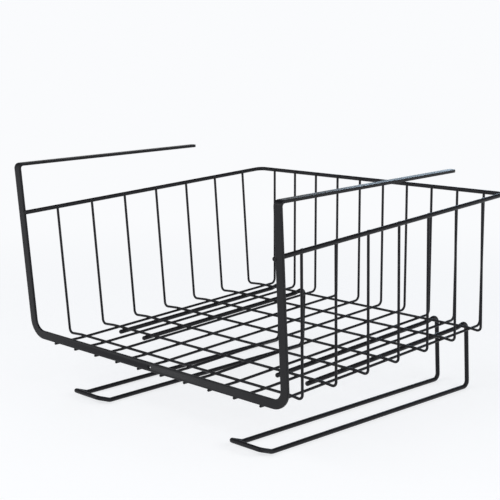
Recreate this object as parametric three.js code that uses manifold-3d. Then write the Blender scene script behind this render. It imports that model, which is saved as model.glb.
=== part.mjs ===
// Under-shelf wire basket. A flat bar makes the front frame and the two arms that lie on the shelf, a
// round rim wire carries the cross wires and the long wires, and two hairpin rails below the floor carry
// boards or trays. All of it is steel wire and bar, resistance welded and powder coated black.
// Millimetres, +Z up, the open front faces -Y. The basket is built with its floor level, then pitched so
// that it stands level on its rails, with the origin under the middle of the whole part.

import * as THREE from "three";
import { mergeVertices } from "three/addons/utils/BufferGeometryUtils.js";
import Module from "manifold-3d";

// Clearance left between pieces that are welded together on the real basket.
const weldGap = 0.3;

// Front frame.
const frameWidth = 400; // outside, across the bottom bar
const frameHeight = 198.2; // underside of the bottom bar to the top of the elbows
const barWidth = 9;
const barThickness = 2.5;
const postSpread = 3.4; // how far each post leans outwards by its top
const postLean = 3.2; // how far each post leans forwards by its top
const armLength = 259.4; // from the post to the arm's end, between the two arms
const armStagger = 2.9; // the left arm reaches this much further back, the right arm less
const cornerRadius = 16; // centre line of the bar where the posts meet the bottom bar
const elbowRadius = 4.2; // centre line of the bar where the posts turn into the arms
const holeDiameter = 4.5;
const holeShift = 4; // to the right of the middle of the bottom bar

// Rim wire.
const rimDiameter = 4.2;
const rimHeight = 144.1; // centre line above the underside of the bottom bar
const rimSag = 3.4; // how much lower the back left corner hangs than the rest of the rim
const rimDepth = 362.8; // front face of the bottom bar to the centre line of the back run
const rimTaper = 3.6; // how much nearer the middle each side run is at the back
const rimRadius = 9;

// Cross wires and long wires.
const wireDiameter = 2.4;
const wireRise = 1.2; // how far the wires stand above the centre line of the rim
const crossCount = 7;
const firstCross = 38.5; // front face of the bottom bar to the first cross wire
const lastCrossInset = 24.3; // last cross wire to the back wall, at the floor
const crossRadius = 5;
const crossDroop = 1.6; // how much lower a cross wire is at its two sides than over the long wires
const droopRadius = 20;
const floorInset = 18.5; // outside of the frame to the centre line of each side, at the floor
const floorDip = 1.8; // how much lower the floor is at the first cross wire than under the bottom bar
const floorFall = 2.4; // how much lower the floor is at the back than at the first cross wire
const longCount = 10;
const longMargin = 20.85; // side of the floor to the outermost long wires, before the shift
const longShift = 2.5; // the long wires and the rails sit this far right of the middle
const longRadius = 6;
const dipRadius = 60; // where the long wires level out under the first cross wire
const backDraft = 8.4; // how much further forward the back is at the floor than at the rim

// Hairpin rails.
const railDiameter = 4.5;
const railLegPitch = 41.2; // between the two legs of a rail
const railWire = 1; // each rail straddles the long wire that has this many beyond it
const railTopStart = 80; // front face of the bottom bar to the front end of a top leg
const railInset = 4.8; // drop of a rail to the back wall, at the floor
const railHump = 3.2; // how far a top leg rises between the last cross wire and the drop
const railDrop = 76; // top leg to lower leg at the drop
const railSway = 2.6; // the lower legs stand this far left of their top legs
const railToe = 3.3; // the lower legs stand this far out at the back and in at the front
const railStagger = 3.7; // the left rail reaches this much further forward, the right rail less
const railLegEnd = 30.5; // front face of the bottom bar to where the lower legs turn up
const railTip = 14.5; // front face of the bottom bar to the cross piece of a rail
const railTipRise = 6.8; // how far the cross piece is turned up
const railBendRadius = 6.5; // where a leg turns into the drop
const railTurnRadius = 12; // where a lower leg turns up
const railCornerRadius = 4; // where a lower leg meets the cross piece
const railHumpRadius = 20; // where a top leg starts to rise

// The arms slope down to the back at one angle to the floor and the lower legs of the rails at another. The
// left arm slopes more than the right one by twice the twist.
const armPitch = THREE.MathUtils.degToRad(2.6);
const armTwist = THREE.MathUtils.degToRad(0.4);
const railPitch = THREE.MathUtils.degToRad(3.1);

// Faces around a wire and steps around a bend.
const wireFaces = 8;
const heavyFaces = 12;
const roundFaces = 24;
const bendSteps = 5;

const coating = { color: 0x26272a, roughness: 0.42, metalness: 0.15 };

const wasm = await Module();
wasm.setup();

// The centre line of a bent wire or bar: straight runs between corners, each corner rounded to its
// radius. The samples are the ends of the runs and even steps around the bends.
class BentLine extends THREE.Curve {
  constructor(corners, radii) {
    super();
    this.places = [];
    this.headings = [];
    const last = corners.length - 1;
    const runs = corners.slice(1).map((corner, i) => corner.clone().sub(corners[i]).normalize());
    this.addSample(corners[0], runs[0]);
    for (let i = 1; i < last; i += 1) {
      this.addBend(corners[i], runs[i - 1], runs[i], radii[i - 1]);
    }
    this.addSample(corners[last], runs[last - 1]);
  }

  addSample(place, heading) {
    this.places.push(place.clone());
    this.headings.push(heading.clone());
  }

  addBend(corner, inward, outward, radius) {
    const turn = inward.angleTo(outward);
    const setback = radius * Math.tan(turn / 2);
    const start = corner.clone().addScaledVector(inward, -setback);
    const side = outward.clone().addScaledVector(inward, -Math.cos(turn)).normalize();
    for (let step = 0; step <= bendSteps; step += 1) {
      const angle = (turn * step) / bendSteps;
      const place = start
        .clone()
        .addScaledVector(inward, radius * Math.sin(angle))
        .addScaledVector(side, radius * (1 - Math.cos(angle)));
      const heading = inward
        .clone()
        .multiplyScalar(Math.cos(angle))
        .addScaledVector(side, Math.sin(angle));
      this.addSample(place, heading);
    }
  }

  get stepCount() {
    return this.places.length - 1;
  }

  getPointAt(share, target = new THREE.Vector3()) {
    return target.copy(this.places[Math.round(share * this.stepCount)]);
  }

  getTangentAt(share, target = new THREE.Vector3()) {
    return target.copy(this.headings[Math.round(share * this.stepCount)]);
  }
}

// A regular outline that measures its diameter across the flats, with flats towards both axes.
function roundSection(diameter, faces) {
  const cornerDistance = diameter / 2 / Math.cos(Math.PI / faces);
  const points = Array.from({ length: faces }, (_, i) => {
    const angle = (2 * Math.PI * (i + 0.5)) / faces;
    return new THREE.Vector2(cornerDistance * Math.cos(angle), cornerDistance * Math.sin(angle));
  });
  return new THREE.Shape(points);
}

function barSection(width, thickness) {
  return new THREE.Shape([
    new THREE.Vector2(-width / 2, -thickness / 2),
    new THREE.Vector2(width / 2, -thickness / 2),
    new THREE.Vector2(width / 2, thickness / 2),
    new THREE.Vector2(-width / 2, thickness / 2),
  ]);
}

function sweep(section, corners, radii) {
  const line = new BentLine(corners, radii);
  return new THREE.ExtrudeGeometry(section, { steps: line.stepCount, extrudePath: line });
}

function toSolid(geometry) {
  const bare = new THREE.BufferGeometry();
  bare.setAttribute("position", geometry.getAttribute("position"));
  bare.setIndex(geometry.index);
  const merged = mergeVertices(bare);
  return new wasm.Manifold(
    new wasm.Mesh({
      numProp: 3,
      vertProperties: merged.getAttribute("position").array,
      triVerts: new Uint32Array(merged.index.array),
    }),
  );
}

function toGeometry(solid) {
  const mesh = solid.getMesh();
  const geometry = new THREE.BufferGeometry();
  geometry.setAttribute("position", new THREE.BufferAttribute(mesh.vertProperties, 3));
  geometry.setIndex(new THREE.BufferAttribute(mesh.triVerts, 1));
  geometry.computeVertexNormals();
  return geometry;
}

const basket = new THREE.Group();

function addPiece(name, geometry) {
  const mesh = new THREE.Mesh(geometry, new THREE.MeshStandardMaterial(coating));
  mesh.name = name;
  basket.add(mesh);
}

function point(x, y, z) {
  return new THREE.Vector3(x, y, z);
}

// Places that several pieces share. The underside of the bottom bar is at height zero and its front face
// at depth zero.
const postX = (frameWidth - barWidth) / 2;
const rimShare = rimHeight / frameHeight;
const rimFrontX = postX + postSpread * rimShare - barWidth / 2 - weldGap - rimDiameter / 2;
const rimFrontY = -postLean * rimShare;
const wireInset = (rimDiameter + wireDiameter) / 2 + weldGap;
const backTopY = rimDepth - wireInset;
const backFloorY = backTopY - backDraft;
const lastCross = backFloorY - lastCrossInset;
const crossPitch = (lastCross - firstCross) / (crossCount - 1);
const floorWidth = frameWidth - 2 * floorInset;
const longPitch = (floorWidth - 2 * longMargin) / (longCount - 1);
const railBack = backFloorY - railInset;

// Half the distance between the side runs of the rim, at a depth behind the front.
function rimHalfWidth(depth) {
  return rimFrontX - (rimTaper * depth) / rimDepth;
}

const rimBackX = rimHalfWidth(rimDepth);

// Height of the rim's left run at a depth behind the front. Its right run is at the rim height.
function rimLeftHeight(depth) {
  return rimHeight - (rimSag * depth) / rimDepth;
}

// Height of the rim's back run at a place across.
function rimBackHeight(x) {
  return rimHeight - (rimSag * (rimBackX - x)) / (2 * rimBackX);
}

// Heights of the centre lines of the three layers of the floor at a depth behind the first cross wire: the
// cross wires lie on the long wires, and the rails hang under the cross wires.
const longFrontZ = -weldGap - wireDiameter / 2;

function longHeight(depth) {
  return longFrontZ - floorDip - (floorFall * (depth - firstCross)) / (backFloorY - firstCross);
}

function crossHeight(depth) {
  return longHeight(depth) + wireDiameter + weldGap;
}

function railHeight(depth) {
  return crossHeight(depth) - (wireDiameter + railDiameter) / 2 - weldGap;
}

function longX(index) {
  return longShift + (index - (longCount - 1) / 2) * longPitch;
}

// Front frame: arm, post, bottom bar, post and arm in one bar, with round arm ends and its hole.
function frontFrame() {
  const topX = postX + postSpread;
  const topY = barThickness / 2 - postLean;
  const topZ = frameHeight - barThickness / 2;
  const arms = [-1, 1].map((side) => {
    const reach = armLength - side * armStagger - barWidth / 2;
    const pitch = armPitch - side * armTwist;
    return { pitch, end: point(side * topX, topY + reach, topZ - reach * Math.tan(pitch)) };
  });
  const corners = [
    arms[0].end,
    point(-topX, topY, topZ),
    point(-postX, barThickness / 2, barWidth / 2),
    point(postX, barThickness / 2, barWidth / 2),
    point(topX, topY, topZ),
    arms[1].end,
  ];
  const radii = [elbowRadius, cornerRadius, cornerRadius, elbowRadius];
  let frame = toSolid(sweep(barSection(barWidth, barThickness), corners, radii));
  for (const arm of arms) {
    const tip = new THREE.CylinderGeometry(barWidth / 2, barWidth / 2, barThickness, roundFaces);
    tip.rotateX(Math.PI / 2 - arm.pitch);
    tip.translate(arm.end.x, arm.end.y, arm.end.z);
    frame = frame.add(toSolid(tip));
  }
  const drill = new THREE.CylinderGeometry(holeDiameter / 2, holeDiameter / 2, barWidth, roundFaces);
  drill.translate(holeShift, barThickness / 2, barWidth / 2);
  return frame.subtract(toSolid(drill));
}

addPiece("front_frame", toGeometry(frontFrame()));

// Rim wire: its ends lie along the inner edges of the posts, flush with their front.
const rimCorners = [
  point(-rimFrontX, rimFrontY, rimLeftHeight(rimFrontY)),
  point(-rimBackX, rimDepth, rimLeftHeight(rimDepth)),
  point(rimBackX, rimDepth, rimHeight),
  point(rimFrontX, rimFrontY, rimHeight),
];
addPiece("rim_wire", sweep(roundSection(rimDiameter, heavyFaces), rimCorners, [rimRadius, rimRadius]));

// Cross wires: U-shaped, down one side, across the floor on top of the long wires and up the other side. They
// droop beyond the outermost long wires.
const wireSection = roundSection(wireDiameter, wireFaces);
const crossRadii = [crossRadius, droopRadius, droopRadius, crossRadius];
for (let i = 0; i < crossCount; i += 1) {
  const depth = firstCross + i * crossPitch;
  const topX = rimHalfWidth(depth) - wireInset;
  const sideX = floorWidth / 2;
  const floorZ = crossHeight(depth);
  const corners = [
    point(-topX, depth, rimLeftHeight(depth) + wireRise),
    point(-sideX, depth, floorZ - crossDroop),
    point(longX(0) - wireDiameter, depth, floorZ),
    point(longX(longCount - 1) + wireDiameter, depth, floorZ),
    point(sideX, depth, floorZ - crossDroop),
    point(topX, depth, rimHeight + wireRise),
  ];
  addPiece(`cross_wire_${i + 1}`, sweep(wireSection, corners, crossRadii));
}

// Long wires: L-shaped, from the underside of the bottom bar back along the floor and up inside the back of
// the rim.
for (let i = 0; i < longCount; i += 1) {
  const corners = [
    point(longX(i), 0, longFrontZ),
    point(longX(i), firstCross, longHeight(firstCross)),
    point(longX(i), backFloorY, longHeight(backFloorY)),
    point(longX(i), backTopY, rimBackHeight(longX(i)) + wireRise),
  ];
  addPiece(`long_wire_${i + 1}`, sweep(wireSection, corners, [dipRadius, longRadius]));
}

// Hairpin rails: two top legs under the cross wires, two drops at the back, and two lower legs that come
// forward to a turned-up cross piece.
const railSection = roundSection(railDiameter, heavyFaces);
const railHumpY = lastCross + wireDiameter;
const railBackZ = railHeight(railBack) + railHump;
const railLowZ = railBackZ - railDrop;
const railRadii = [
  railHumpRadius,
  railBendRadius,
  railBendRadius,
  railTurnRadius,
  railCornerRadius,
  railCornerRadius,
  railTurnRadius,
  railBendRadius,
  railBendRadius,
  railHumpRadius,
];

// Corners of one rail that hangs around a line at the given side of the basket, -1 for left.
function railCorners(side, lineX) {
  const turnY = railLegEnd + side * railStagger;
  const turnZ = railLowZ + (railBack - turnY) * Math.tan(railPitch);
  const tipY = railTip + side * railStagger;
  const leg = (half) => {
    const topX = lineX + half;
    const backX = topX - railSway + side * railToe;
    const frontX = topX - railSway - side * railToe;
    return [
      point(topX, railTopStart, railHeight(railTopStart)),
      point(topX, railHumpY, railHeight(railHumpY)),
      point(topX, railBack, railBackZ),
      point(backX, railBack, railLowZ),
      point(frontX, turnY, turnZ),
      point(frontX, tipY, turnZ + railTipRise),
    ];
  };
  return [...leg(-railLegPitch / 2), ...leg(railLegPitch / 2).reverse()];
}

addPiece("rail_left", sweep(railSection, railCorners(-1, longX(railWire)), railRadii));
addPiece("rail_right", sweep(railSection, railCorners(1, longX(longCount - 1 - railWire)), railRadii));

// The basket stands on its rails, with the origin under the middle of its outline.
const standing = new THREE.Group();
standing.add(basket);
basket.rotation.x = railPitch;
standing.updateMatrixWorld(true);
const outline = new THREE.Box3().setFromObject(standing, true);
const middle = outline.getCenter(new THREE.Vector3());
basket.position.set(-middle.x, -middle.y, -outline.min.z);

export default standing;
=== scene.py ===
# Looks of the under-shelf wire basket. Every CAD node is replaced by a finer piece on the same centre
# line: round wires with sheared and coated ends, a flat bar with rolled edges and its hole. Weld beads join
# them, and all of it has a satin black powder coat. Metres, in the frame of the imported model.

import math

import bmesh
import bpy
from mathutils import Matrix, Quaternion, Vector, noise


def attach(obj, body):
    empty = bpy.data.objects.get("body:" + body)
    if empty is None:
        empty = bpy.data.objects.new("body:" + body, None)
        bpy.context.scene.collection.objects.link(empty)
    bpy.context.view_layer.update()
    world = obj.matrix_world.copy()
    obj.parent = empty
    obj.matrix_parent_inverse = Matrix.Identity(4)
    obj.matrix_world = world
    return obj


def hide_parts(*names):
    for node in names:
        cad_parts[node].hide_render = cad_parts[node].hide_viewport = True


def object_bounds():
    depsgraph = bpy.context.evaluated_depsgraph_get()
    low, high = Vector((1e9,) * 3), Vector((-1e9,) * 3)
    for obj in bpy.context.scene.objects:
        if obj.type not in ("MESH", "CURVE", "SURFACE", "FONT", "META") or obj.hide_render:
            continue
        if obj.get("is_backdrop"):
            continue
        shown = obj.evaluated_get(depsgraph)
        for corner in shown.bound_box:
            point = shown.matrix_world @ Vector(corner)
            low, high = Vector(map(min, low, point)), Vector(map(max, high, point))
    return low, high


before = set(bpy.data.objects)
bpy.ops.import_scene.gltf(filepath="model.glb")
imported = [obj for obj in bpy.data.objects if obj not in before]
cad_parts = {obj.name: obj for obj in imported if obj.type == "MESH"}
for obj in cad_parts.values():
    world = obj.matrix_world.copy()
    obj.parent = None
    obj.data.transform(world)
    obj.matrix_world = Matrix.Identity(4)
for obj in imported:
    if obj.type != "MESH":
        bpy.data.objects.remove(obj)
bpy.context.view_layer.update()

BODY = "root"
CROSS_NODES = sorted(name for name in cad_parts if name.startswith("cross_wire"))
LONG_NODES = sorted(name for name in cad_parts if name.startswith("long_wire"))
RAIL_NODES = ("rail_left", "rail_right")

# Stock sizes, as in the CAD. The coats of two pieces together close the gap that the CAD leaves at a weld.
WELD_GAP = 0.0003
COAT_SHARE = 0.75  # of the weld gap, on each piece
COAT = COAT_SHARE * WELD_GAP
WIRE = 0.0024  # diameter of the cross and long wires
RIM = 0.0042
RAIL = 0.0045
BAR_WIDTH = 0.009
BAR_THICKNESS = 0.0025

# Finish of the stock.
EDGE_RADIUS = 0.0006  # rolled edges of the bar
EDGE_STEPS = 4
EDGE_SUPPORT = 0.0002  # keeps the flats of the bar flat beside its edges
WIRE_SIDES = 16
HEAVY_SIDES = 24  # of the rim and the rails
ARC_STEP = math.radians(7.5)  # the most that a bend turns between two rings
END_STEPS = 5
END_RADIUS_SHARE = 0.75  # rounding of a sheared and coated wire end, of its radius
TIP_STEPS = 12  # around a quarter of a half-round arm end
TIP_LAST_SHARE = 0.02  # what is left of the bar's width at the very tip
HOLE_RADIUS = 0.00225
HOLE_FLARE = 0.0004  # how far the coating rounds the edge of the hole
HOLE_SIDES = 40
SMOOTH_ANGLE = math.radians(40)  # sharper edges show as edges

# Reading the centre lines from the CAD meshes.
MERGE = 1e-6
SHARP = math.radians(15)
PARALLEL_SHARE = 0.9999
RUN_SHARE = 1.5  # the least length of a straight run, of the section
APART_SHARE = 2  # how far apart the edges of one run are at most, of the section
SEARCH_SHARE = 0.25  # how far from the middle of the bottom bar its hole is looked for, of its length
UPRIGHT_LIMIT = 0.9  # a heading with a greater rise takes another way as upright
PARALLEL_SLACK = 1e-9  # segments that lean less than this are parallel

# Weld beads.
BEAD_SHARE = 0.6  # half the width of a bead, of the two radii together or the one diameter
CROSSING_DEPTH_SHARE = 0.84  # half the depth of a bead between two wires, of half its width
FRAME_DEPTH_SHARE = 0.42  # the same on the front frame
BEAD_REACH = 0.0007  # farthest two wires are apart where they are welded
BEAD_SPACING = 0.003  # nearer contacts are one weld
BEAD_RINGS = 8
BEAD_SIDES = 14
BEAD_WOBBLE_SHARE = 0.12
BEAD_GRAIN = 900  # how fine the lumps of a bead are

# Powder coat. Each noise has a scale, a detail and a roughness.
PEEL_NOISE = (1100, 2, 0.55)
GRAIN_NOISE = (4000, 2, 0.55)
CLOUD_NOISE = (22, 4, 0.55)
SCUFF_NOISE = (420, 5, 0.7)
GRAIN_SHARE = 0.35  # of the grain in the bump, beside the peel
BUMP_STRENGTH = 0.9
BUMP_HEIGHT = 0.0001
CLOUD_RANGE = (0.3, 0.7)  # between which the clouds change colour and gloss
CLOUD_SHARES = (0.85, 1.15)  # of the colour, at the ends of that range
SCUFF_RANGE = (0.55, 0.68)  # between which an edge comes to look rubbed
COAT_IOR = 1.5

# Coats: colour, colour where it is rubbed, specular level, and roughness at the ends of the clouds' range.
BAR_COAT = ((0.006, 0.006, 0.008), (0.026, 0.026, 0.03), 0.23, (0.36, 0.44))
WIRE_COAT = ((0.008, 0.008, 0.0105), (0.032, 0.032, 0.035), 0.22, (0.36, 0.44))
WELD_COAT = ((0.006, 0.006, 0.0068), (0.02, 0.02, 0.022), 0.4, (0.22, 0.3))

# Camera, as fitted to the photograph.
CAMERA_PLACE = Vector((0.95352, -0.96470, 0.42405))
CAMERA_AIM = Vector((0.0593, -0.0808, 0.1839))
CAMERA_ROLL = math.radians(-0.281)
CAMERA_LENS = 90.13
CAMERA_SENSOR = 36

# Studio: a near white wall all round under a darker ceiling, and a floor that looks as bright as the wall.
BACKGROUND = (0.974, 0.983, 1, 1)
BACKGROUND_LEVEL = 0.982  # of the wall, as the camera and reflections see it
CEILING_LEVEL = 0.12  # of the ceiling, seen in the same way
WORLD_LIGHT = 0.5  # of the wall, as it lights the basket
CEILING_LIGHT = 0.25  # of the ceiling, as it lights the basket
CEILING_START = 0.02  # height of a direction at which the wall starts to darken
CEILING_END = 0.45  # height at which it is as dark as the ceiling
FLOOR_COLOUR = (0.425, 0.429, 0.437, 1)
FLOOR_ROUGHNESS = 0.9
FLOOR_LIFT = 0.68  # what the floor adds of its own, as the camera and reflections see it
FLOOR_REACH = 12
FLOOR_CELLS = 8
FADE_START = 0.45  # distance from the middle at which the floor starts to fade into the background
FADE_END = 1.3

# Lamps: place, power, colour, and width and height of the panel. They aim at the middle of the basket.
LAMP_AIM = Vector((0, 0, 0.12))
LAMPS = {
    "front_panel": ((-0.5, -2.45, 1.65), 47, (1, 1, 1), (3.2, 1.6)),
    "right_panel": ((2.5, 0.1, 1.5), 33, (1, 1, 1), (2.6, 1.6)),
    "window": ((-1.3, 2.3, 0.8), 8, (0.6, 0.8, 1), (1, 0.6)),
}


def mean(points):
    """The middle of some points."""
    return sum(points, Vector()) / len(points)


def square_part(vector, way):
    """The part of a vector that is square to a way of length 1."""
    return vector - way * vector.dot(way)


def cad_mesh(node):
    """The mesh of a CAD node, with the points that its faces share joined."""
    mesh = bmesh.new()
    mesh.from_mesh(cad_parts[node].data)
    bmesh.ops.remove_doubles(mesh, verts=mesh.verts, dist=MERGE)
    return mesh


def long_edges(node, section):
    """The long sharp edges of a CAD node, as pairs of points: they lie along its straight runs."""
    mesh = cad_mesh(node)
    edges = [
        tuple(vert.co.copy() for vert in edge.verts)
        for edge in mesh.edges
        if edge.calc_length() > RUN_SHARE * section and edge.calc_face_angle(0) > SHARP
    ]
    mesh.free()
    return edges


def straight_runs(node, section):
    """The straight runs of a bent wire or bar, as (start, end) on its centre line, in order along it."""
    groups = []
    for start, end in long_edges(node, section):
        heading = (end - start).normalized()
        middle = (start + end) / 2
        for group in groups:
            across = square_part(middle - group["middle"], group["heading"])
            along = heading.dot(group["heading"])
            if abs(along) > PARALLEL_SHARE and across.length < APART_SHARE * section:
                if along < 0:
                    start, end = end, start
                group["starts"].append(start)
                group["ends"].append(end)
                break
        else:
            groups.append({"heading": heading, "middle": middle, "starts": [start], "ends": [end]})
    runs = [(mean(group["starts"]), mean(group["ends"])) for group in groups]
    return in_order(runs)


def in_order(runs):
    """Chains straight runs end to end, from the free end that lies farthest from any other run."""
    def gap(index, end):
        others = [point for i, run in enumerate(runs) if i != index for point in run]
        return min((point - runs[index][end]).length for point in others)

    first, free = max(((i, end) for i in range(len(runs)) for end in (0, 1)), key=lambda at: gap(*at))
    left = [run for i, run in enumerate(runs) if i != first]
    chain = [runs[first] if free == 0 else runs[first][::-1]]
    while left:
        tail = chain[-1][1]
        nearest = min(left, key=lambda run: min((point - tail).length for point in run))
        left.remove(nearest)
        forward = (nearest[0] - tail).length < (nearest[1] - tail).length
        chain.append(nearest if forward else nearest[::-1])
    return chain


def centre_line(runs):
    """Stations (place, heading) along a bent wire: its straight runs, with an even arc between each two."""
    def heading(run):
        return (run[1] - run[0]).normalized()

    stations = [(runs[0][0], heading(runs[0]))]
    for before, after in zip(runs, runs[1:]):
        inward, outward = heading(before), heading(after)
        turn = inward.angle(outward)
        radius = (after[0] - before[1]).length / (2 * math.sin(turn / 2))
        side = square_part(outward, inward).normalized()
        steps = max(2, math.ceil(turn / ARC_STEP))
        for step in range(steps + 1):
            angle = turn * step / steps
            place = before[1] + inward * radius * math.sin(angle) + side * radius * (1 - math.cos(angle))
            stations.append((place, inward * math.cos(angle) + side * math.sin(angle)))
    stations.append((runs[-1][1], heading(runs[-1])))
    return stations


def round_profile(diameter, sides):
    """Points around a round section, with how much each point belongs to an edge that wears."""
    angles = [2 * math.pi * i / sides for i in range(sides)]
    return [(diameter / 2 * math.cos(angle), diameter / 2 * math.sin(angle), 0) for angle in angles]


def bar_profile():
    """Points around the flat bar: four rolled edges, and a support point beside each on the flats."""
    wide = BAR_WIDTH / 2 + COAT - EDGE_RADIUS
    thick = BAR_THICKNESS / 2 + COAT - EDGE_RADIUS
    points = []
    for quarter, (x, y) in enumerate(((wide, thick), (-wide, thick), (-wide, -thick), (wide, -thick))):
        arc = [math.pi / 2 * (quarter + step / EDGE_STEPS) for step in range(EDGE_STEPS + 1)]
        rounded = [
            (x + EDGE_RADIUS * math.cos(angle), y + EDGE_RADIUS * math.sin(angle), 1) for angle in arc
        ]
        before = Vector((math.sin(arc[0]), -math.cos(arc[0]))) * EDGE_SUPPORT
        after = Vector((-math.sin(arc[-1]), math.cos(arc[-1]))) * EDGE_SUPPORT
        points.append((rounded[0][0] + before.x, rounded[0][1] + before.y, 0))
        points.extend(rounded)
        points.append((rounded[-1][0] + after.x, rounded[-1][1] + after.y, 0))
    return points


def wire_end(radius):
    """(distance from the end, share of the width, share of the thickness) of a cut and coated wire end."""
    rounding = END_RADIUS_SHARE * radius
    rings = []
    for step in range(END_STEPS + 1):
        angle = math.pi / 2 * step / END_STEPS
        share = 1 - END_RADIUS_SHARE * (1 - math.cos(angle))
        rings.append((rounding * (1 - math.sin(angle)), share, share))
    return rings


def bar_end():
    """(distance from the end, share of the width, share of the thickness) of a half-round arm end."""
    radius = BAR_WIDTH / 2 + COAT
    half = BAR_THICKNESS / 2 + COAT
    rings = []
    for step in range(TIP_STEPS + 1):
        angle = math.pi / 2 * step / TIP_STEPS
        distance = radius * (1 - math.sin(angle))
        into = max(0, EDGE_RADIUS - distance)
        thick = half - EDGE_RADIUS + math.sqrt(EDGE_RADIUS**2 - into**2)
        rings.append((distance, max(math.cos(angle), TIP_LAST_SHARE), thick / half))
    return rings


def with_ends(stations, rings):
    """Stations (place, heading, wide, thick) along a line whose two ends are closed by end rings."""
    first, last = stations[0], stations[-1]
    opening = [(first[0] + first[1] * ring[0], first[1], ring[1], ring[2]) for ring in reversed(rings)]
    closing = [(last[0] - last[1] * ring[0], last[1], ring[1], ring[2]) for ring in rings]
    return opening + [(place, heading, 1, 1) for place, heading in stations[1:-1]] + closing


def lengthened(stations, extra):
    """The same line with both ends further out."""
    (first, opening), (last, closing) = stations[0], stations[-1]
    return [(first - opening * extra, opening)] + stations[1:-1] + [(last + closing * extra, closing)]


def add_object(name, data):
    """Puts a mesh, a lamp or a camera into the scene."""
    made = bpy.data.objects.new(name, data)
    bpy.context.scene.collection.objects.link(made)
    return made


def to_object(name, mesh):
    """An object from a mesh of bmesh, which is freed."""
    data = bpy.data.meshes.new(name)
    mesh.to_mesh(data)
    mesh.free()
    return add_object(name, data)


def closed_object(name, mesh):
    """An object from closed meshes, with all faces turned outward."""
    bmesh.ops.recalc_face_normals(mesh, faces=mesh.faces)
    return to_object(name, mesh)


def sweep(name, profile, stations, flat):
    """A closed mesh: the profile carried along the stations without twist. flat is the way that the
    profile's second axis points at the first station."""
    mesh = bmesh.new()
    wear = mesh.verts.layers.float.new("edge")
    rings = []
    normal = flat
    for place, heading, wide, thick in stations:
        normal = square_part(normal, heading).normalized()
        across = normal.cross(heading)
        ring = []
        for x, y, edge in profile:
            vert = mesh.verts.new(place + across * x * wide + normal * y * thick)
            vert[wear] = edge
            ring.append(vert)
        rings.append(ring)
    for ring, following in zip(rings, rings[1:]):
        for i in range(len(ring)):
            j = (i + 1) % len(ring)
            mesh.faces.new((ring[i], ring[j], following[j], following[i]))
    mesh.faces.new(reversed(rings[0]))
    mesh.faces.new(rings[-1])
    return closed_object(name, mesh)


def finish_piece(piece, material, slot, *nodes):
    """Smooth shading up to sharp edges, material, body and the CAD nodes it stands for. slot is not used."""
    data = piece.data
    data.polygons.foreach_set("use_smooth", [True] * len(data.polygons))
    data.set_sharp_from_angle(angle=SMOOTH_ANGLE)
    data.materials.clear()
    data.materials.append(material)
    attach(piece, BODY)
    if nodes:
        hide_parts(*nodes)


def any_normal(heading):
    """A direction square to the heading, as near to upright as it can be."""
    up = Vector((0, 0, 1)) if abs(heading.z) < UPRIGHT_LIMIT else Vector((0, 1, 0))
    return square_part(up, heading).normalized()


def make_wire(node, diameter, sides, material):
    """A round wire in place of a CAD wire. Returns its stations, for the welds."""
    stations = centre_line(straight_runs(node, diameter))
    coated = diameter + 2 * COAT
    rings = with_ends(lengthened(stations, COAT), wire_end(coated / 2))
    piece = sweep(node + "_coated", round_profile(coated, sides), rings, any_normal(stations[0][1]))
    finish_piece(piece, material, "coated_wire", node)
    return stations


def bar_flat_way(run):
    """The way that the bar's thickness points on a straight run of the front frame."""
    place, heading = run[0], (run[1] - run[0]).normalized()
    offsets = []
    for start, end in long_edges("front_frame", BAR_WIDTH):
        across = square_part((start + end) / 2 - place, heading)
        if across.length < BAR_WIDTH:
            offsets.append(across)
    return (offsets[0] - min(offsets[1:], key=lambda other: (other - offsets[0]).length)).normalized()


def make_frame(material):
    """The front frame: the flat bar with its hole, which is in the middle run."""
    runs = straight_runs("front_frame", BAR_WIDTH)
    stations = with_ends(lengthened(centre_line(runs), BAR_WIDTH / 2 + COAT), bar_end())
    piece = sweep("front_frame_coated", bar_profile(), stations, bar_flat_way(runs[0]))
    drill_hole(piece, runs[len(runs) // 2])
    finish_piece(piece, material, "coated_bar", "front_frame")


def hole_place(run):
    """Centre of the hole in the bottom bar: no other points of the CAD mesh lie near the bar's middle."""
    mesh = cad_mesh("front_frame")
    middle = (run[0] + run[1]) / 2
    reach = SEARCH_SHARE * (run[1] - run[0]).length
    around = [vert.co.copy() for vert in mesh.verts if (vert.co - middle).length < reach]
    mesh.free()
    return mean(around)


def drill_hole(piece, run):
    """Cuts the hole through the bottom bar, with an edge that the coating has rounded."""
    centre = hole_place(run)
    axis = bar_flat_way(run)
    half = BAR_THICKNESS / 2 + COAT
    flare = [
        (-2 * half, HOLE_RADIUS + HOLE_FLARE),
        (-half, HOLE_RADIUS + HOLE_FLARE),
        (-half + HOLE_FLARE / 2, HOLE_RADIUS + HOLE_FLARE / 4),
        (-half + HOLE_FLARE, HOLE_RADIUS),
    ]
    outline = flare + [(-depth, radius) for depth, radius in reversed(flare)]
    stations = [(centre + axis * depth, axis, radius, radius) for depth, radius in outline]
    cutter = sweep("hole_cutter", round_profile(2, HOLE_SIDES), stations, any_normal(axis))
    cut = piece.modifiers.new("hole", "BOOLEAN")
    cut.operation = "DIFFERENCE"
    cut.solver = "EXACT"
    cut.object = cutter
    evaluated = piece.evaluated_get(bpy.context.evaluated_depsgraph_get())
    drilled = bpy.data.meshes.new_from_object(evaluated)
    piece.modifiers.clear()
    bpy.data.objects.remove(cutter)
    mesh = bmesh.new()
    mesh.from_mesh(drilled)
    # Faces with many corners are split first, because merging the doubled points of the cut could spoil them.
    bmesh.ops.triangulate(mesh, faces=[face for face in mesh.faces if len(face.verts) > 4])
    bmesh.ops.remove_doubles(mesh, verts=mesh.verts, dist=MERGE)
    mesh.to_mesh(drilled)
    mesh.free()
    piece.data = drilled


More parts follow.
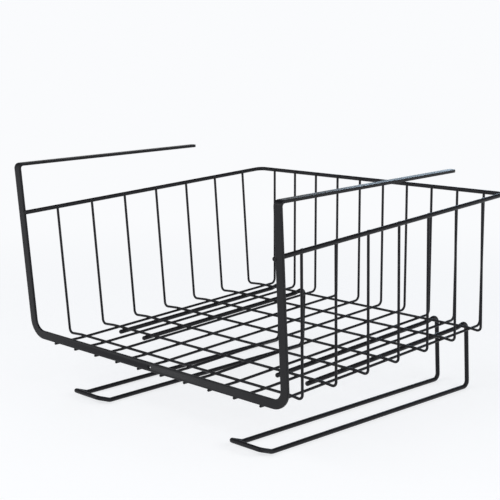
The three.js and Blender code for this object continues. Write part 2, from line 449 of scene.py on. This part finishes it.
def closest(first, second):
    """The closest points of two segments."""
    start, way = first[0], first[1] - first[0]
    other, other_way = second[0], second[1] - second[0]
    offset = start - other
    a, b, c = way.dot(way), way.dot(other_way), other_way.dot(other_way)
    d, e = way.dot(offset), other_way.dot(offset)
    lean = a * c - b * b
    share = min(max((b * e - c * d) / lean, 0), 1) if lean > a * c * PARALLEL_SLACK else 0
    other_share = min(max((b * share + e) / c, 0), 1)
    share = min(max((b * other_share - d) / a, 0), 1)
    return start + way * share, other + other_way * other_share


def contacts(line, other, reach):
    """Where two wires are welded: the point on each, the gap between them and the way of the first. Of
    contacts that lie close together only the nearest counts."""
    found = []
    for first in zip(line, line[1:]):
        for second in zip(other, other[1:]):
            here, there = closest((first[0][0], first[1][0]), (second[0][0], second[1][0]))
            gap = (here - there).length
            if gap > reach:
                continue
            near = [weld for weld in found if (weld["here"] - here).length < BEAD_SPACING]
            if near and near[0]["gap"] <= gap:
                continue
            for weld in near:
                found.remove(weld)
            found.append({"here": here, "there": there, "gap": gap, "way": first[0][1]})
    return found


def bead(mesh, centre, axes):
    """Adds one weld bead to a mesh: a flattened, slightly lumpy drop. axes are its three half lengths."""
    def place(x, y, z):
        out = centre + axes[0] * x + axes[1] * y + axes[2] * z
        wobble = 1 + BEAD_WOBBLE_SHARE * noise.noise(out * BEAD_GRAIN)
        return mesh.verts.new(centre + (out - centre) * wobble)

    turns = [2 * math.pi * i / BEAD_SIDES for i in range(BEAD_SIDES)]
    rings = []
    for step in range(1, BEAD_RINGS):
        tilt = math.pi * step / BEAD_RINGS
        wide, high = math.sin(tilt), math.cos(tilt)
        rings.append([place(wide * math.cos(turn), wide * math.sin(turn), high) for turn in turns])
    top, bottom = place(0, 0, 1), place(0, 0, -1)
    for i in range(BEAD_SIDES):
        j = (i + 1) % BEAD_SIDES
        mesh.faces.new((top, rings[0][i], rings[0][j]))
        mesh.faces.new((bottom, rings[-1][j], rings[-1][i]))
        for ring, following in zip(rings, rings[1:]):
            mesh.faces.new((ring[i], following[i], following[j], ring[j]))


def crossing_beads(name, lines, others, radius, other_radius, material):
    """The weld beads where the wires of one group cross those of another."""
    mesh = bmesh.new()
    reach = radius + other_radius + BEAD_REACH
    half = BEAD_SHARE * (radius + other_radius)
    share = (radius + WELD_GAP / 2) / (radius + other_radius + WELD_GAP)
    for line in lines:
        for other in others:
            for weld in contacts(line, other, reach):
                towards = (weld["there"] - weld["here"]).normalized()
                centre = weld["here"].lerp(weld["there"], share)
                way = square_part(weld["way"], towards).normalized()
                axes = (way * half, towards.cross(way) * half, towards * half * CROSSING_DEPTH_SHARE)
                bead(mesh, centre, axes)
    finish_piece(closed_object(name, mesh), material, "coated_wire")


def frame_bead(mesh, place, way, side, diameter, length):
    """Adds the bead between the end of a wire and the front frame. way leads along the wire from its end,
    side leads from the wire to the bar, and length is half the bead's length along the wire."""
    half = BEAD_SHARE * diameter
    centre = place + way * (BAR_THICKNESS / 2) + side * (diameter + WELD_GAP) / 2
    bead(mesh, centre, (way * length, side.cross(way) * half, side * half * FRAME_DEPTH_SHARE))


def frame_beads(name, rim_line, long_lines, material):
    """The welds on the front frame: the rim's ends beside the posts, the long wires under the bottom bar."""
    mesh = bmesh.new()
    (first, opening), (last, closing) = rim_line[0], rim_line[-1]
    outward = Vector((last.x - first.x, 0, 0)).normalized()
    frame_bead(mesh, first, opening, -outward, RIM, BEAD_SHARE * RIM)
    frame_bead(mesh, last, -closing, outward, RIM, BEAD_SHARE * RIM)
    for line in long_lines:
        place, heading = min((line[0], line[-1]), key=lambda end: end[0].y)
        way = heading if heading.y > 0 else -heading
        frame_bead(mesh, place, way, any_normal(way), WIRE, BAR_THICKNESS / 2)
    finish_piece(closed_object(name, mesh), material, "coated_wire")


def set_inputs(node, values):
    """Gives the named inputs of a node their values."""
    for name, value in values.items():
        node.inputs[name].default_value = value


def new_material(name):
    """A new material, with its node tree and its shader."""
    material = bpy.data.materials.new(name)
    material.use_nodes = True
    return material, material.node_tree, material.node_tree.nodes["Principled BSDF"]


def noise_texture(tree, coordinates, scale, detail, roughness):
    """A noise from 0 to 1 in the given coordinates."""
    made = tree.nodes.new("ShaderNodeTexNoise")
    set_inputs(made, {"Scale": scale, "Detail": detail, "Roughness": roughness})
    tree.links.new(coordinates, made.inputs["Vector"])
    return made.outputs["Fac"]


def combined(tree, operation, first, second):
    """Two values put together by a math node. The second may be a number."""
    made = tree.nodes.new("ShaderNodeMath")
    made.operation = operation
    tree.links.new(first, made.inputs[0])
    if isinstance(second, (int, float)):
        made.inputs[1].default_value = second
    else:
        tree.links.new(second, made.inputs[1])
    return made.outputs[0]


def spread(tree, value, given, wanted, interpolation="LINEAR"):
    """A value carried from one range to another, both as (low, high)."""
    made = tree.nodes.new("ShaderNodeMapRange")
    made.interpolation_type = interpolation
    set_inputs(made, {"From Min": given[0], "From Max": given[1], "To Min": wanted[0], "To Max": wanted[1]})
    tree.links.new(value, made.inputs["Value"])
    return made.outputs["Result"]


def seen_rays(tree):
    """1 for rays from the camera, a reflection or glass, 0 for the others."""
    path = tree.nodes.new("ShaderNodeLightPath")
    seen = path.outputs["Is Camera Ray"]
    for name in ("Is Glossy Ray", "Is Transmission Ray"):
        seen = combined(tree, "MAXIMUM", seen, path.outputs[name])
    return seen


def powder_coat(name, colour, rub_colour, specular, gloss):
    """Satin black powder coat: orange peel and fine grain in the bump, uneven gloss, and slightly rubbed
    edges where the vertex value edge says so."""
    material, tree, shader = new_material(name)
    set_inputs(shader, {"Metallic": 0, "IOR": COAT_IOR, "Specular IOR Level": specular})
    coordinates = tree.nodes.new("ShaderNodeTexCoord").outputs["Object"]
    peel = noise_texture(tree, coordinates, *PEEL_NOISE)
    grain = noise_texture(tree, coordinates, *GRAIN_NOISE)
    cloud = noise_texture(tree, coordinates, *CLOUD_NOISE)
    scuff = noise_texture(tree, coordinates, *SCUFF_NOISE)

    height = combined(tree, "ADD", peel, combined(tree, "MULTIPLY", grain, GRAIN_SHARE))
    bump = tree.nodes.new("ShaderNodeBump")
    set_inputs(bump, {"Strength": BUMP_STRENGTH, "Distance": BUMP_HEIGHT})
    tree.links.new(height, bump.inputs["Height"])
    tree.links.new(bump.outputs["Normal"], shader.inputs["Normal"])

    base = tree.nodes.new("ShaderNodeValToRGB")
    for stop, position, share in zip(base.color_ramp.elements, CLOUD_RANGE, CLOUD_SHARES):
        stop.position = position
        stop.color = (*[channel * share for channel in colour], 1)
    tree.links.new(cloud, base.inputs["Fac"])

    edge = tree.nodes.new("ShaderNodeAttribute")
    edge.attribute_name = "edge"
    rubbed = combined(tree, "MULTIPLY", edge.outputs["Fac"], spread(tree, scuff, SCUFF_RANGE, (0, 1)))
    mixed = tree.nodes.new("ShaderNodeMix")
    mixed.data_type = "RGBA"
    tree.links.new(rubbed, mixed.inputs["Factor"])
    tree.links.new(base.outputs["Color"], mixed.inputs["A"])
    mixed.inputs["B"].default_value = (*rub_colour, 1)
    tree.links.new(mixed.outputs["Result"], shader.inputs["Base Color"])

    tree.links.new(spread(tree, cloud, CLOUD_RANGE, gloss), shader.inputs["Roughness"])
    return material


def floor_material():
    """Pale floor that shows near white to the camera and in reflections, and keeps the object's shadow. Away
    from the object it fades into the background."""
    material, tree, shader = new_material("floor")
    set_inputs(shader, {
        "Base Color": FLOOR_COLOUR,
        "Roughness": FLOOR_ROUGHNESS,
        "Specular IOR Level": 0,
        "Emission Color": BACKGROUND,
    })
    lift = combined(tree, "MULTIPLY", seen_rays(tree), FLOOR_LIFT)
    tree.links.new(lift, shader.inputs["Emission Strength"])
    background = tree.nodes.new("ShaderNodeEmission")
    set_inputs(background, {"Color": BACKGROUND, "Strength": BACKGROUND_LEVEL})
    coordinates = tree.nodes.new("ShaderNodeTexCoord")
    distance = tree.nodes.new("ShaderNodeVectorMath")
    distance.operation = "LENGTH"
    tree.links.new(coordinates.outputs["Object"], distance.inputs[0])
    fade = spread(tree, distance.outputs["Value"], (FADE_START, FADE_END), (0, 1), "SMOOTHSTEP")
    faded = tree.nodes.new("ShaderNodeMixShader")
    tree.links.new(fade, faded.inputs["Fac"])
    tree.links.new(shader.outputs["BSDF"], faded.inputs[1])
    tree.links.new(background.outputs["Emission"], faded.inputs[2])
    tree.links.new(faded.outputs["Shader"], tree.nodes["Material Output"].inputs["Surface"])
    return material


def make_floor(height):
    """The floor of the studio, level with the lowest point of the basket."""
    mesh = bmesh.new()
    bmesh.ops.create_grid(mesh, x_segments=FLOOR_CELLS, y_segments=FLOOR_CELLS, size=FLOOR_REACH)
    piece = to_object("floor", mesh)
    piece.location.z = height
    piece.data.materials.append(floor_material())
    piece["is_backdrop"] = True


def make_world():
    """A white studio wall all round, seen by the camera and in reflections, under a darker ceiling."""
    world = bpy.data.worlds.new("studio")
    bpy.context.scene.world = world
    world.use_nodes = True
    tree = world.node_tree
    direction = tree.nodes.new("ShaderNodeTexCoord")
    split = tree.nodes.new("ShaderNodeSeparateXYZ")
    tree.links.new(direction.outputs["Generated"], split.inputs["Vector"])
    height = split.outputs["Z"]
    darkening = (CEILING_START, CEILING_END)
    light = spread(tree, height, darkening, (WORLD_LIGHT, CEILING_LIGHT), "SMOOTHSTEP")
    look = spread(tree, height, darkening, (BACKGROUND_LEVEL, CEILING_LEVEL), "SMOOTHSTEP")
    level = tree.nodes.new("ShaderNodeMapRange")
    tree.links.new(seen_rays(tree), level.inputs["Value"])
    tree.links.new(light, level.inputs["To Min"])
    tree.links.new(look, level.inputs["To Max"])
    background = tree.nodes["Background"]
    background.inputs["Color"].default_value = BACKGROUND
    tree.links.new(level.outputs["Result"], background.inputs["Strength"])


def make_lights():
    """Two large soft panels, in front and on the right, and a bluish window behind on the left."""
    for name, (place, power, colour, panel) in LAMPS.items():
        data = bpy.data.lights.new(name, "AREA")
        data.energy = power
        data.color = colour
        data.shape = "RECTANGLE"
        data.size, data.size_y = panel
        made = add_object(name, data)
        made.location = place
        made.rotation_euler = (LAMP_AIM - Vector(place)).to_track_quat("-Z", "Y").to_euler()
        made.visible_camera = False


def make_camera():
    """The camera, with the view of the photograph."""
    data = bpy.data.cameras.new("camera")
    data.lens = CAMERA_LENS
    data.sensor_width = CAMERA_SENSOR
    made = add_object("camera", data)
    made.location = CAMERA_PLACE
    made.rotation_mode = "QUATERNION"
    aim = (CAMERA_AIM - CAMERA_PLACE).to_track_quat("-Z", "Y")
    made.rotation_quaternion = aim @ Quaternion((0, 0, 1), CAMERA_ROLL)
    bpy.context.scene.camera = made


bar_coat = powder_coat("powder_coat_bar", *BAR_COAT)
wire_coat = powder_coat("powder_coat_wire", *WIRE_COAT)
weld_coat = powder_coat("powder_coat_weld", *WELD_COAT)

make_frame(bar_coat)
rim_line = make_wire("rim_wire", RIM, HEAVY_SIDES, wire_coat)
cross_lines = [make_wire(node, WIRE, WIRE_SIDES, wire_coat) for node in CROSS_NODES]
long_lines = [make_wire(node, WIRE, WIRE_SIDES, wire_coat) for node in LONG_NODES]
rail_lines = [make_wire(node, RAIL, HEAVY_SIDES, wire_coat) for node in RAIL_NODES]

crossing_beads("floor_welds", cross_lines, long_lines, WIRE / 2, WIRE / 2, weld_coat)
crossing_beads("rail_welds", cross_lines, rail_lines, WIRE / 2, RAIL / 2, weld_coat)
crossing_beads("rim_welds", cross_lines + long_lines, [rim_line], WIRE / 2, RIM / 2, weld_coat)
frame_beads("frame_welds", rim_line, long_lines, weld_coat)

make_floor(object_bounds()[0].z)
make_world()
make_lights()
make_camera()
bpy.context.scene.view_settings.view_transform = "Standard"
